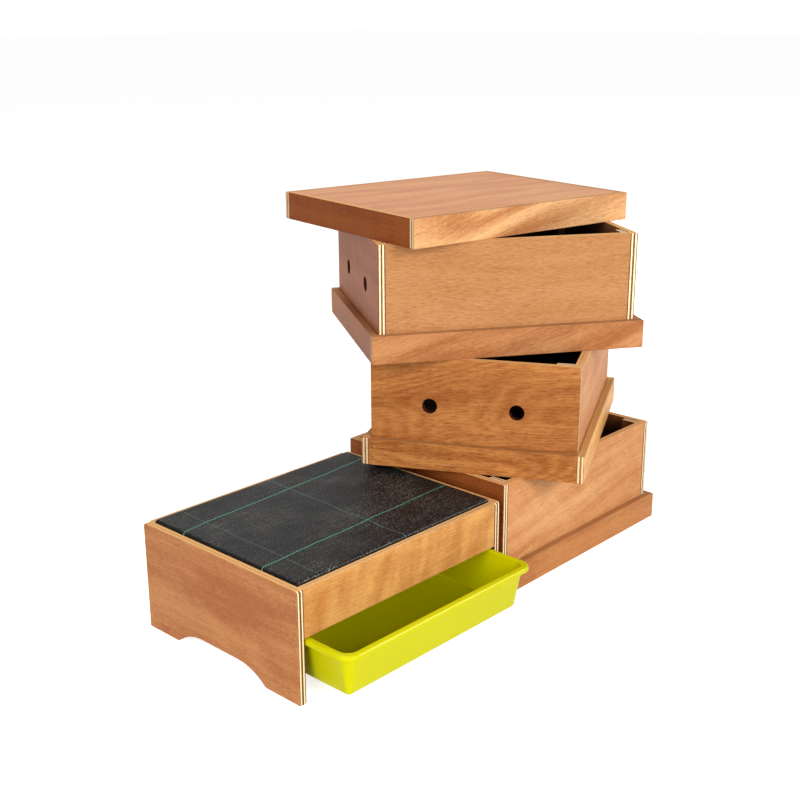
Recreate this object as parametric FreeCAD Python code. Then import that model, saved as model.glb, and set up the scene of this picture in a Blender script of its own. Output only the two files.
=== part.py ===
import FreeCAD, Part
import math
import os
from FreeCAD import Vector

# Sheet material
ply = 10.0                      # thickness of every plywood board
arris = 0.6                     # sharp edges of the boards are taken off by this much
cut_past = 1.0                  # how far cuts run past the faces they go through
corner_round = 1.5              # rounding of the free corners of the boards that lie outside
base_corner_round = 4.0         # the same at the top of the base ends

# Box shared by the three trays and the base
box_length = 360.0
box_width = 287.0
skirt_gap = 0.8                 # between the walls of a box and the inside of a skirt round it

# Stacking trays
skirt_height = 38.5
box_reach = 119.0               # how far the box walls stand above the skirt
floor_rise = 20.0               # underside of the floor above the foot of the skirt
floor_slats = 6
slat_gap = 8.0                  # the worms climb through these gaps
strip_width = 24.0              # corner strips inside each box
strip_drop = 0.6                # top of a corner strip below the rim
vent_radius = 10.5
vent_spacing = 120.0
vent_drop = 68.5                # centre of the vents below the rim

# Lid
lid_height = 38.5

# Drip tray, moulded plastic
drip_height = 59.6
drip_depth = 276.0              # from front rim to back rim
drip_side_gap = 1.2             # between its rim and the base ends
drip_wall = 2.5
drip_overhang = 6.5             # how far the rim stands out past the top of the wall
drip_lip_height = 6.0
drip_lip_wall = 2.2
drip_lean = 10.5                # how much each wall leans in from rim to bottom
drip_rim_corner = 20.0
drip_wall_corner = 16.5         # at the top of the wall
drip_bottom_round = 5.0
drip_floor_round = 3.5
drip_rim_round = 4.0
drip_mouth_round = 1.5
drip_pulled_out = 68.5          # how far it stands out of the base

# Base
leg_clear = 21.4                # underside of the drip tray above the ground
drip_headroom = 2.0             # between the drip tray and the front rail
rail_height = 62.0
arch_rise = 19.5                # cut-out under each end
arch_flat = 67.0                # its level part
arch_radius = 75.0
toe_round = 16.0
back_clear = 20.0               # foot of the back panel above the ground
runner_width = 6.5              # battens that carry the rim of the drip tray
runner_depth = 10.0
runner_setback = 20.0
ledge_height = 20.0             # battens under the drain board

# Drain board and the ground cover stretched over it
cover_thickness = 1.5
cover_proud = 4.5               # above the rim of the base
cover_gap = 0.3                 # all round, inside the base
cover_round = 4.0
drain_hole_radius = 6.0
drain_holes_long = 4
drain_holes_wide = 3
drain_hole_margin = 55.0        # outer holes from the edge of the board

# How the pieces stand: offsets of each centre from the one below, and turns in degrees
aside_gap = 6.6                 # lower tray beside the base
lower_offset_y = 13.7
lower_turn = 0.83
middle_offset_x = -6.0
middle_offset_y = 4.2
middle_turn = 27.9
upper_offset_x = -22.1
upper_offset_y = 21.4
upper_turn = -33.8
lid_offset_x = -5.6
lid_offset_y = 42.1
lid_turn = -10.3

# Sizes that follow
drip_rim_top = leg_clear + drip_height
drip_rim_foot = drip_rim_top - drip_lip_height
base_height = drip_rim_top + drip_headroom + rail_height
tray_rise = skirt_height + box_reach
floor_top = floor_rise + ply
inner_length = box_length - 2 * ply
inner_width = box_width - 2 * ply
skirt_inside_length = box_length + 2 * skirt_gap
skirt_inside_width = box_width + 2 * skirt_gap
skirt_length = skirt_inside_length + 2 * ply
skirt_width = skirt_inside_width + 2 * ply
drip_length = inner_length - 2 * drip_side_gap

X, Y, Z = Vector(1, 0, 0), Vector(0, 1, 0), Vector(0, 0, 1)
small = 1e-4                    # room when edges are picked out by where they lie


# Boards and battens

def runs_along(edge, axis):
    line = edge.Vertexes[-1].Point - edge.Vertexes[0].Point
    return len(edge.Vertexes) == 2 and line.cross(axis).Length < small * line.Length


def eased_board(low, high, thin):
    """Board between two corners, whose faces square to thin have eased edges."""
    size = high - low
    board = Part.makeBox(size.x, size.y, size.z, low)
    return board.makeChamfer(arris, [e for e in board.Edges if not runs_along(e, thin)])


def outer_board(low, high, outward, round_below, radius=corner_round):
    """Board whose free corners are rounded, with eased edges on the face that looks outward."""
    size = high - low
    board = Part.makeBox(size.x, size.y, size.z, low)
    middle = (low.z + high.z) / 2
    corners = [e for e in board.Edges if runs_along(e, outward)
               and (round_below or e.CenterOfMass.z > middle)]
    board = board.makeFillet(radius, corners)
    reach = max(v.Point.dot(outward) for v in board.Vertexes)
    face_edges = [e for e in board.Edges if min(v.Point.dot(outward) for v in e.Vertexes) > reach - small]
    return board.makeChamfer(arris, face_edges)


def span(a, b):
    return min(a, b), max(a, b)


def square_to_x(side, outer, thick, half_width, low_z, high_z):
    """Corners of a board whose outer face lies at side * outer on X."""
    low_x, high_x = span(side * outer, side * (outer - thick))
    return Vector(low_x, -half_width, low_z), Vector(high_x, half_width, high_z)


def square_to_y(side, outer, thick, half_length, low_z, high_z):
    """Corners of a board whose outer face lies at side * outer on Y."""
    low_y, high_y = span(side * outer, side * (outer - thick))
    return Vector(-half_length, low_y, low_z), Vector(half_length, high_y, high_z)


def skirt_boards(height):
    """Four boards round a box: the long ones run past the short ones and cover their ends."""
    half_x, half_y = skirt_length / 2, skirt_width / 2
    boards = {}
    for name, side in (("front_skirt", -1), ("back_skirt", 1)):
        boards[name] = outer_board(*square_to_y(side, half_y, ply, half_x, 0, height), Y * side, True)
    for name, side in (("left_skirt", -1), ("right_skirt", 1)):
        boards[name] = eased_board(*square_to_x(side, half_x, ply, half_y - ply, 0, height), X)
    return boards


# One stacking tray, centred over its own foot

def tray_end(side):
    """Full-width end with two round vents."""
    corners = square_to_x(side, box_length / 2, ply, box_width / 2, floor_top, tray_rise)
    end = outer_board(*corners, X * side, False)
    for y in (-vent_spacing / 2, vent_spacing / 2):
        start = Vector(side * (box_length / 2 + cut_past), y, tray_rise - vent_drop)
        end = end.cut(Part.makeCylinder(vent_radius, ply + 2 * cut_past, start, X * -side))
    return end


def tray_side(side):
    """Long side, let in between the ends."""
    corners = square_to_y(side, box_width / 2, ply, inner_length / 2, floor_top, tray_rise)
    return eased_board(*corners, Y)


def corner_strips():
    """Four upright strips against the ends, tight to the long sides."""
    strips = []
    for side_x in (-1, 1):
        for side_y in (-1, 1):
            low_x, high_x = span(side_x * inner_length / 2, side_x * (inner_length / 2 - ply))
            low_y, high_y = span(side_y * inner_width / 2, side_y * (inner_width / 2 - strip_width))
            low = Vector(low_x, low_y, floor_top)
            high = Vector(high_x, high_y, tray_rise - strip_drop)
            strips.append(eased_board(low, high, X))
    return Part.makeCompound(strips)


def tray_floor():
    """Slats across the tray, inside the skirt, that the walls stand on."""
    slat_width = (skirt_inside_length - (floor_slats - 1) * slat_gap) / floor_slats
    slats = []
    for i in range(floor_slats):
        start = -skirt_inside_length / 2 + i * (slat_width + slat_gap)
        low = Vector(start, -skirt_inside_width / 2, floor_rise)
        slats.append(Part.makeBox(slat_width, skirt_inside_width, ply, low))
    return Part.makeCompound(slats)


def tray_pieces():
    pieces = {
        "left_end": tray_end(-1),
        "right_end": tray_end(1),
        "front_side": tray_side(-1),
        "back_side": tray_side(1),
        "corner_strips": corner_strips(),
        "floor_slats": tray_floor(),
    }
    pieces.update(skirt_boards(skirt_height))
    return pieces


# Lid: a panel let in flush between the boards of its skirt

def lid_pieces():
    low = Vector(-skirt_inside_length / 2, -skirt_inside_width / 2, lid_height - ply)
    high = Vector(skirt_inside_length / 2, skirt_inside_width / 2, lid_height)
    pieces = {"panel": eased_board(low, high, Z)}
    pieces.update(skirt_boards(lid_height))
    return pieces


# Base

def arch_outline():
    """Outline of the cut-out, level in the middle with a round shoulder each side, and its foot."""
    flat, drop = arch_flat / 2, arch_radius - arch_rise
    turn = math.acos(drop / arch_radius)
    foot = flat + arch_radius * math.sin(turn)

    def point(side, angle):
        height = arch_rise - arch_radius * (1 - math.cos(angle))
        return Vector(0, side * (flat + arch_radius * math.sin(angle)), height)

    left = [point(-1, share * turn) for share in (1, 0.5, 0)]
    right = [point(1, share * turn) for share in (0, 0.5, 1)]
    edges = [
        Part.Arc(*left).toShape(),
        Part.LineSegment(left[2], right[0]).toShape(),
        Part.Arc(*right).toShape(),
        Part.LineSegment(right[2], left[0]).toShape(),
    ]
    return Part.Wire(edges), foot


def base_end(side):
    """Full-width end that stands on two feet."""
    corners = square_to_x(side, box_length / 2, ply, box_width / 2, 0, base_height)
    end = outer_board(*corners, X * side, False, base_corner_round)
    outline, foot = arch_outline()
    void = Part.Face(outline).extrude(X * (box_length + 2 * cut_past))
    void.translate(X * -(box_length / 2 + cut_past))
    end = end.cut(void)
    toes = [e for e in end.Edges if runs_along(e, X) and e.BoundBox.ZMax < small
            and abs(abs(e.CenterOfMass.y) - foot) < small]
    return end.makeFillet(toe_round, toes)


def base_runner(side):
    """Batten on a base end that the rim of the drip tray slides on."""
    low_x, high_x = span(side * inner_length / 2, side * (inner_length / 2 - runner_width))
    low = Vector(low_x, -box_width / 2 + runner_setback, drip_rim_foot - runner_depth)
    high = Vector(high_x, inner_width / 2, drip_rim_foot)
    return eased_board(low, high, Y)


def drain_levels():
    top = base_height + cover_proud - cover_thickness
    return top - ply, top


def base_ledge(side):
    """Batten on the rail or the back panel that the drain board rests on."""
    top = drain_levels()[0]
    return eased_board(*square_to_y(side, inner_width / 2, ply, inner_length / 2, top - ledge_height, top), Y)


def top_rounded_block(half_x, half_y, low_z, high_z, radius):
    """Block whose upper edges are rounded."""
    block = Part.makeBox(2 * half_x, 2 * half_y, high_z - low_z, Vector(-half_x, -half_y, low_z))
    upper = [e for e in block.Edges if min(v.Z for v in e.Vertexes) > high_z - small]
    return block.makeFillet(radius, upper)


def cover_reach():
    return inner_length / 2 - cover_gap, inner_width / 2 - cover_gap


def board_reach():
    return [reach - cover_thickness for reach in cover_reach()]


def drain_board():
    """Drilled board in the top of the base, its upper edges rounded for the cloth."""
    low_z, high_z = drain_levels()
    half_x, half_y = board_reach()
    board = top_rounded_block(half_x, half_y, low_z, high_z, cover_round - cover_thickness)
    pitch_x = 2 * (half_x - drain_hole_margin) / (drain_holes_long - 1)
    pitch_y = 2 * (half_y - drain_hole_margin) / (drain_holes_wide - 1)
    for i in range(drain_holes_long):
        for j in range(drain_holes_wide):
            foot = Vector(drain_hole_margin - half_x + i * pitch_x,
                          drain_hole_margin - half_y + j * pitch_y, low_z - cut_past)
            board = board.cut(Part.makeCylinder(drain_hole_radius, ply + 2 * cut_past, foot, Z))
    return board


def drain_cover():
    """Woven ground cover over the top and the edges of the drain board."""
    low_z, high_z = drain_levels()
    outside = top_rounded_block(*cover_reach(), low_z, high_z + cover_thickness, cover_round)
    inside = top_rounded_block(*board_reach(), low_z, high_z, cover_round - cover_thickness)
    return outside.cut(inside)


def base_pieces():
    rail = square_to_y(-1, box_width / 2, ply, inner_length / 2, base_height - rail_height, base_height)
    back = square_to_y(1, box_width / 2, ply, inner_length / 2, back_clear, base_height)
    return {
        "base_left_end": base_end(-1),
        "base_right_end": base_end(1),
        "base_front_rail": eased_board(*rail, Y),
        "base_back_panel": eased_board(*back, Y),
        "base_left_runner": base_runner(-1),
        "base_right_runner": base_runner(1),
        "base_front_ledge": base_ledge(-1),
        "base_back_ledge": base_ledge(1),
        "drain_board": drain_board(),
        "drain_cover": drain_cover(),
    }


# Drip tray, on its own underside: walls with draft and a hollow rolled rim

def rounded_block(length, width, radius, low_z, high_z):
    block = Part.makeBox(length, width, high_z - low_z, Vector(-length / 2, -width / 2, low_z))
    return block.makeFillet(radius, [e for e in block.Edges if runs_along(e, Z)])


def drafted_block(length, width, radius, lean, low_z, high_z):
    """Block measured at its top, whose walls and round corners lean in by lean at the foot."""
    core_x, core_y = length / 2 - radius, width / 2 - radius
    foot = radius - lean

    def leaning_prism(core, across, run, reach):
        low_half, high_half = core + foot, core + radius
        points = [across * -low_half + Z * low_z, across * low_half + Z * low_z,
                  across * high_half + Z * high_z, across * -high_half + Z * high_z]
        face = Part.Face(Part.makePolygon(points + points[:1]))
        face.translate(run * -reach)
        return face.extrude(run * (2 * reach))

    pieces = [leaning_prism(core_x, X, Y, core_y)]
    for x in (-core_x, core_x):
        for y in (-core_y, core_y):
            pieces.append(Part.makeCone(foot, radius, high_z - low_z, Vector(x, y, low_z), Z))
    return leaning_prism(core_y, Y, X, core_x).fuse(pieces).removeSplitter()


def level_edges(shape, z):
    return [e for e in shape.Edges if e.BoundBox.ZMin > z - small and e.BoundBox.ZMax < z + small]


def drip_tray():
    wall_length, wall_width = drip_length - 2 * drip_overhang, drip_depth - 2 * drip_overhang
    wall = drafted_block(wall_length, wall_width, drip_wall_corner, drip_lean, 0, drip_height)
    wall = wall.makeFillet(drip_bottom_round, level_edges(wall, 0))
    lip_foot = drip_height - drip_lip_height
    rim = rounded_block(drip_length, drip_depth, drip_rim_corner, lip_foot, drip_height)
    rim = rim.makeFillet(drip_rim_round, level_edges(rim, drip_height))
    groove = rounded_block(drip_length - 2 * drip_lip_wall, drip_depth - 2 * drip_lip_wall,
                           drip_rim_corner - drip_lip_wall, lip_foot - cut_past,
                           drip_height - drip_lip_wall)
    tray = wall.fuse(rim.cut(groove)).removeSplitter()
    lean = drip_lean * (drip_height - drip_wall) / drip_height
    hollow = drafted_block(wall_length - 2 * drip_wall, wall_width - 2 * drip_wall,
                           drip_wall_corner - drip_wall, lean, drip_wall, drip_height)
    hollow = hollow.makeFillet(drip_floor_round, level_edges(hollow, drip_wall))
    tray = tray.cut(hollow)
    mouth = [e for e in level_edges(tray, drip_height)
             if e.CenterOfMass.x ** 2 < (wall_length / 2 - drip_wall + small) ** 2
             and e.CenterOfMass.y ** 2 < (wall_width / 2 - drip_wall + small) ** 2]
    return tray.makeFillet(drip_mouth_round, mouth)


# Places: the base's middle is the start, the middle of the whole group becomes the origin

def turned_reach(turn):
    """Half the room that a skirt takes along X and along Y when it is turned."""
    c, s = abs(math.cos(math.radians(turn))), abs(math.sin(math.radians(turn)))
    return (skirt_length * c + skirt_width * s) / 2, (skirt_length * s + skirt_width * c) / 2


def stack_places():
    """Centre, level and turn of each tray and of the lid."""
    x = box_length / 2 + aside_gap + turned_reach(lower_turn)[0]
    y = lower_offset_y
    places = {"lower_tray": (x, y, 0, lower_turn)}
    steps = [
        ("middle_tray", middle_offset_x, middle_offset_y, middle_turn),
        ("upper_tray", upper_offset_x, upper_offset_y, upper_turn),
        ("lid", lid_offset_x, lid_offset_y, lid_turn),
    ]
    for level, (name, offset_x, offset_y, turn) in enumerate(steps, start=1):
        x, y = x + offset_x, y + offset_y
        places[name] = (x, y, level * tray_rise, turn)
    return places


def group_middle(places):
    """Middle of the room that everything takes, seen from above."""
    lows_x, highs_x = [-box_length / 2], [box_length / 2]
    lows_y, highs_y = [-box_width / 2 - drip_pulled_out], [box_width / 2]
    for x, y, level, turn in places.values():
        reach_x, reach_y = turned_reach(turn)
        lows_x.append(x - reach_x)
        highs_x.append(x + reach_x)
        lows_y.append(y - reach_y)
        highs_y.append(y + reach_y)
    return (min(lows_x) + max(highs_x)) / 2, (min(lows_y) + max(highs_y)) / 2


def assemble():
    places = stack_places()
    middle_x, middle_y = group_middle(places)
    placed = {}
    for name, shape in base_pieces().items():
        shape.translate(Vector(-middle_x, -middle_y, 0))
        placed[name] = shape
    tray = drip_tray()
    tray_y = -box_width / 2 - drip_pulled_out + drip_depth / 2
    tray.translate(Vector(-middle_x, tray_y - middle_y, leg_clear))
    placed["drip_tray"] = tray
    for part, (x, y, level, turn) in places.items():
        pieces = lid_pieces() if part == "lid" else tray_pieces()
        for name, shape in pieces.items():
            shape.rotate(Vector(0, 0, 0), Z, turn)
            shape.translate(Vector(x - middle_x, y - middle_y, level))
            placed[part + "_" + name] = shape
    return placed


nodes = assemble()
os.makedirs("parts", exist_ok=True)
for name, shape in nodes.items():
    if not shape.isValid():
        raise ValueError(name + " is not a valid shape")
    shape.exportStep("parts/" + name + ".step")
print(len(nodes), "nodes written")
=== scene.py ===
import math

import bmesh
import bpy
from mathutils import Matrix, Vector, noise


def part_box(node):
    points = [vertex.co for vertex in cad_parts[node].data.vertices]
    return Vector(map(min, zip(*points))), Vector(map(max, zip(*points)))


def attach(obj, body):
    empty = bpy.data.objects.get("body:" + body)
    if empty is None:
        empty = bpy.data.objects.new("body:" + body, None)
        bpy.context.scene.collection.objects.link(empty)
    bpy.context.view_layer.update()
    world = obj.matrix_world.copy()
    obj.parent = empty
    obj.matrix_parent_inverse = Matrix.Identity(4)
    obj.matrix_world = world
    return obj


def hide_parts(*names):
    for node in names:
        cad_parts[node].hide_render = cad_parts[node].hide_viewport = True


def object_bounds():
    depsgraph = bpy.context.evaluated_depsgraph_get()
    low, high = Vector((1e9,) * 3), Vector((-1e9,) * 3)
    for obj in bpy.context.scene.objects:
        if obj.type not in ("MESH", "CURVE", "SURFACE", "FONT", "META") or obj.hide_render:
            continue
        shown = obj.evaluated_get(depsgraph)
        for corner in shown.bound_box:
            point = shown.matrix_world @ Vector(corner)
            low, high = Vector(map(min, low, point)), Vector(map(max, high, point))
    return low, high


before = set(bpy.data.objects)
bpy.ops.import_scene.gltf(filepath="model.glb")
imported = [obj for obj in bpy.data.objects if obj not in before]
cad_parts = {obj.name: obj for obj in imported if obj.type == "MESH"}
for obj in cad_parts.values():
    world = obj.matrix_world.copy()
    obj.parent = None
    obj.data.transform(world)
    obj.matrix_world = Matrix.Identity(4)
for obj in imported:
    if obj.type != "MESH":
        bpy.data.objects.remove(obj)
cad_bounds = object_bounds()


# Base boards
# Two ends run the full width of the base and stand on feet either side of an arch. A front rail and
# a back panel are nailed between them, with battens for the drip tray and for the drain board. All
# are sawn from 10 mm plywood with okoume faces, eased with sandpaper and given a satin varnish.

MM_PER_M = 1000.0
SHEET_MM = 10.0
FACE_PLY_FROM_MM = 3.5          # from the middle of the sheet to the inside of its face plies
PLY_WAVER_MM = 0.5              # the line between two plies wavers by this much
SHADE_DEEPENS_MM = 26.0         # depth below the rim at which the painted shade is at its darkest
SHADE_AT_RIM = 0.34             # share of the veneer's brightness that the painted shade leaves
SHADE_BELOW = 0.05
FACES_ALONG = 0.6               # least part of its normal along an axis, where a surface faces that way
AXES = {"X": Vector((1, 0, 0)), "Y": Vector((0, 1, 0)), "Z": Vector((0, 0, 1))}


def linear(hex_colour):
    """An sRGB hex colour as the linear RGBA that a socket takes."""
    channels = [int(hex_colour[i:i + 2], 16) / 255 for i in (1, 3, 5)]
    return [c / 12.92 if c <= 0.04045 else ((c + 0.055) / 1.055) ** 2.4 for c in channels] + [1.0]


def add(tree, kind, sockets=None, **settings):
    """Adds a node to a tree, with its settings, and fills or links its inputs."""
    node = tree.nodes.new(kind)
    for name, value in settings.items():
        setattr(node, name, value)
    for key, value in (sockets or {}).items():
        if isinstance(value, bpy.types.NodeSocket):
            tree.links.new(value, node.inputs[key])
        else:
            node.inputs[key].default_value = value
    return node


def start_material(name):
    """A new material, and its tree with no nodes in it yet."""
    material = bpy.data.materials.new(name)
    material.use_nodes = True
    material.node_tree.nodes.clear()
    return material, material.node_tree


def start_group(name, kind, inputs, outputs):
    """A new node group with named inputs and outputs, and the sockets that bring its inputs in."""
    tree = bpy.data.node_groups.new(name, kind)
    for way, sockets in (("INPUT", inputs), ("OUTPUT", outputs)):
        for label, holds, *value in sockets:
            socket = tree.interface.new_socket(label, in_out=way, socket_type="NodeSocket" + holds)
            if value:
                socket.default_value = value[0]
    return tree, add(tree, "NodeGroupInput").outputs


def okoume_plywood():
    """Okoume-faced plywood: rotary-cut pinkish tan veneer with short dark pores, broad bands and a
    silky cross ribbon, and on its edges five plies. Point is in mm: X along the grain, Y across it
    and Z through the sheet from its middle."""
    tree, given = start_group("okoume plywood", "ShaderNodeTree", (
        ("Point", "Vector"), ("Facing", "Vector"), ("Seed", "Float", 0.0),
        ("Light", "Color"), ("Dark", "Color"),
        ("Bands", "Float", 0.8), ("Streaks", "Float", 0.8), ("Fleck", "Float", 0.95),
        ("Ribbon", "Float", 0.3), ("Ribbon turn", "Float", 0.0),
        ("Rings", "Float", 0.0), ("Ring lines", "Float", 60.0),
        ("Drift", "Float", 26.0), ("Drift length", "Float", 210.0), ("Slope", "Float", 0.0),
        ("Pores", "Float", 0.5), ("Middle", "Float", 0.0), ("Core", "Float", 1.15),
        ("Stained", "Float", 0.0), ("Inside", "Float", 0.0), ("Rim", "Float", 0.0),
        ("Vent", "Vector"),
    ), (("Color", "Color"), ("Roughness", "Float"), ("Height", "Float")))

    # Each seed starts elsewhere in the veneer. The grain wanders to either side on its way along
    apart = (311, 173, 97)
    squeeze = (1.0, 2.2, 2.2)
    start = add(tree, "ShaderNodeVectorMath", {0: given["Seed"], 1: apart, 2: given["Point"]},
                operation="MULTIPLY_ADD").outputs[0]
    sloped = add(tree, "ShaderNodeVectorRotate", {"Vector": start, "Angle": given["Slope"]},
                 rotation_type="Z_AXIS").outputs[0]
    squeezed = add(tree, "ShaderNodeVectorMath", {0: sloped, 1: squeeze},
                   operation="MULTIPLY").outputs[0]
    close = add(tree, "ShaderNodeMath", {0: 1.0, 1: given["Drift length"]},
                operation="DIVIDE").outputs[0]
    drift = add(tree, "ShaderNodeTexNoise", {"Vector": squeezed, "Scale": close, "Detail": 1.0})
    aside = add(tree, "ShaderNodeCombineXYZ", {"Y": given["Drift"]}).outputs[0]
    grain = add(tree, "ShaderNodeVectorMath", {0: drift.outputs["Color"], 1: aside, 2: sloped},
                operation="MULTIPLY_ADD").outputs[0]
    crossed = add(tree, "ShaderNodeVectorRotate", {"Vector": start, "Angle": given["Ribbon turn"]},
                  rotation_type="Z_AXIS").outputs[0]

    # Each kind of mark is one noise, as long and as wide as the mark, in mm
    marks = {}
    for name, point, long, wide, detail in (
        ("Bands", grain, 240, 26, 1.5),
        ("Streaks", grain, 50, 2.0, 2.0),
        ("Fleck", grain, 6, 1.3, 1.0),
        ("Ribbon", crossed, 24, 90, 2.0),
        ("Pores", grain, 11, 1.2, 0.0),
        ("Pore patches", grain, 60, 30, 1.0),
        ("Rings", grain, 330, 85, 0.5),
        ("Edge fibres", start, 1.6, 1.6, 2.0),
    ):
        scaled = add(tree, "ShaderNodeVectorMath", {0: point, 1: (1 / long, 1 / wide, 1 / wide)},
                     operation="MULTIPLY").outputs[0]
        mark = add(tree, "ShaderNodeTexNoise", {"Vector": scaled, "Scale": 1.0, "Detail": detail})
        marks[name] = mark.outputs["Fac"]

    # The contour lines of the widest noise are the growth rings that the lathe cut across
    turns = add(tree, "ShaderNodeMath", {0: marks["Rings"], 1: given["Ring lines"]},
                operation="MULTIPLY").outputs[0]
    wave = add(tree, "ShaderNodeMath", {0: turns}, operation="SINE").outputs[0]
    marks["Rings"] = add(tree, "ShaderNodeMath", {0: wave, 1: 0.5, 2: 0.5},
                         operation="MULTIPLY_ADD").outputs[0]

    # Each mark draws the tone from the middle towards the light or the dark colour
    tone = 0.5
    for name, strength in (
        ("Bands", 2.4),
        ("Streaks", 1.5),
        ("Fleck", 1.2),
        ("Ribbon", 2.2),
        ("Rings", 0.5),
    ):
        centred = add(tree, "ShaderNodeMath", {0: marks[name], 1: 0.5}, operation="SUBTRACT").outputs[0]
        weight = add(tree, "ShaderNodeMath", {0: given[name], 1: strength},
                     operation="MULTIPLY").outputs[0]
        tone = add(tree, "ShaderNodeMath", {0: centred, 1: weight, 2: tone},
                   operation="MULTIPLY_ADD").outputs[0]
    veneer = add(tree, "ShaderNodeMix", {"Factor": tone, 6: given["Dark"], 7: given["Light"]},
                 data_type="RGBA", clamp_factor=True).outputs[2]

    # Pores come in patches, and take up more of the varnish
    shifted = add(tree, "ShaderNodeMath", {0: marks["Pore patches"], 1: 0.35, 2: marks["Pores"]},
                  operation="MULTIPLY_ADD").outputs[0]
    pore = add(tree, "ShaderNodeMapRange", {"Value": shifted, "From Min": 0.74, "From Max": 0.88})
    depth = add(tree, "ShaderNodeMath", {0: pore.outputs[0], 1: given["Pores"]},
                operation="MULTIPLY").outputs[0]
    share = add(tree, "ShaderNodeMath", {0: depth, 1: 0.4}, operation="MULTIPLY").outputs[0]
    face = add(tree, "ShaderNodeMix", {"Factor": share, 6: veneer, 7: linear("#7A3614")},
               data_type="RGBA").outputs[2]

    # Inside, the face is darkened by painted shade, and all the darker below the rim
    at = add(tree, "ShaderNodeSeparateXYZ", {0: given["Point"]}).outputs
    normal = add(tree, "ShaderNodeSeparateXYZ", {0: given["Facing"]}).outputs
    below = add(tree, "ShaderNodeMath", {0: given["Rim"], 1: at["Y"]}, operation="SUBTRACT").outputs[0]
    left = add(tree, "ShaderNodeMapRange", {
        "Value": below, "From Max": SHADE_DEEPENS_MM, "To Min": SHADE_AT_RIM, "To Max": SHADE_BELOW})
    stained = add(tree, "ShaderNodeVectorMath", {0: face, "Scale": left.outputs[0]},
                  operation="SCALE").outputs[0]
    inward = add(tree, "ShaderNodeMath", {0: normal["Z"], 1: given["Inside"]},
                 operation="MULTIPLY").outputs[0]
    inward = add(tree, "ShaderNodeMath", {0: inward, 1: FACES_ALONG},
                 operation="GREATER_THAN").outputs[0]
    face = add(tree, "ShaderNodeMix", {"Factor": inward, 6: face, 7: stained},
               data_type="RGBA").outputs[2]

    # Plies across the edge, from the middle out: brown core, cream ply laid across it, brown face
    level = add(tree, "ShaderNodeMath", {0: at["Z"]}, operation="ABSOLUTE").outputs[0]
    offset = add(tree, "ShaderNodeMath", {0: level, 1: given["Middle"]},
                 operation="SUBTRACT").outputs[0]
    from_middle = add(tree, "ShaderNodeMath", {0: offset}, operation="ABSOLUTE").outputs[0]
    waver = add(tree, "ShaderNodeMath", {0: marks["Edge fibres"], 1: PLY_WAVER_MM, 2: from_middle},
                operation="MULTIPLY_ADD").outputs[0]
    ply_at = add(tree, "ShaderNodeMath", {0: waver, 1: PLY_WAVER_MM / 2},
                 operation="SUBTRACT").outputs[0]
    past_core = add(tree, "ShaderNodeMath", {0: ply_at, 1: given["Core"]},
                    operation="GREATER_THAN").outputs[0]
    in_face = add(tree, "ShaderNodeMath", {0: ply_at, 1: FACE_PLY_FROM_MM},
                  operation="GREATER_THAN").outputs[0]
    plies = {}
    rubbed = add(tree, "ShaderNodeVectorMath", {0: veneer, "Scale": 0.78}, operation="SCALE").outputs[0]
    for edge, core, cross, outer, most_stained in (
        ("ends", "#6E4C20", "#FFE2B8", "#70482A", 0.45),
        ("sides", "#D09A5C", "#E0B07A", "#E4A860", 1.0),
    ):
        inner = add(tree, "ShaderNodeMix", {"Factor": past_core, 6: linear(core), 7: linear(cross)},
                    data_type="RGBA").outputs[2]
        bare = add(tree, "ShaderNodeMix", {"Factor": in_face, 6: inner, 7: linear(outer)},
                   data_type="RGBA").outputs[2]
        share = add(tree, "ShaderNodeMath", {0: given["Stained"], 1: most_stained},
                    operation="MULTIPLY").outputs[0]
        plies[edge] = add(tree, "ShaderNodeMix", {"Factor": share, 6: bare, 7: rubbed},
                          data_type="RGBA").outputs[2]
    square, on = {}, {}
    for axis in "XZ":
        square[axis] = add(tree, "ShaderNodeMath", {0: normal[axis]}, operation="ABSOLUTE").outputs[0]
        on[axis] = add(tree, "ShaderNodeMath", {0: square[axis], 1: FACES_ALONG},
                       operation="GREATER_THAN").outputs[0]
    edge = add(tree, "ShaderNodeMix", {"Factor": on["X"], 6: plies["sides"], 7: plies["ends"]},
               data_type="RGBA").outputs[2]
    fibres = add(tree, "ShaderNodeMapRange", {
        "Value": marks["Edge fibres"], "From Min": 0.3, "From Max": 0.7,
        "To Min": 0.82, "To Max": 1.08}).outputs[0]
    edge = add(tree, "ShaderNodeVectorMath", {0: edge, "Scale": fibres}, operation="SCALE").outputs[0]
    colour = add(tree, "ShaderNodeMix", {"Factor": on["Z"], 6: edge, 7: face},
                 data_type="RGBA").outputs[2]

    # Vent is how far a pair of bores is from the middle along and across the grain, and their radius.
    # The bores and a thin ring round them are painted dark brown, a painted shade
    bore = add(tree, "ShaderNodeSeparateXYZ", {0: given["Vent"]}).outputs
    along = add(tree, "ShaderNodeMath", {0: at["X"]}, operation="ABSOLUTE").outputs[0]
    along = add(tree, "ShaderNodeMath", {0: along, 1: bore["X"]}, operation="SUBTRACT").outputs[0]
    across = add(tree, "ShaderNodeMath", {0: at["Y"], 1: bore["Y"]}, operation="SUBTRACT").outputs[0]
    spoke = add(tree, "ShaderNodeCombineXYZ", {"X": along, "Y": across}).outputs[0]
    away = add(tree, "ShaderNodeVectorMath", {0: spoke}, operation="LENGTH").outputs["Value"]
    bore_shade = add(tree, "ShaderNodeMath", {0: away, 1: bore["Z"]}, operation="LESS_THAN").outputs[0]
    colour = add(tree, "ShaderNodeMix", {"Factor": bore_shade, 6: colour, 7: linear("#40180A")},
                 data_type="RGBA").outputs[2]

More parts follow.
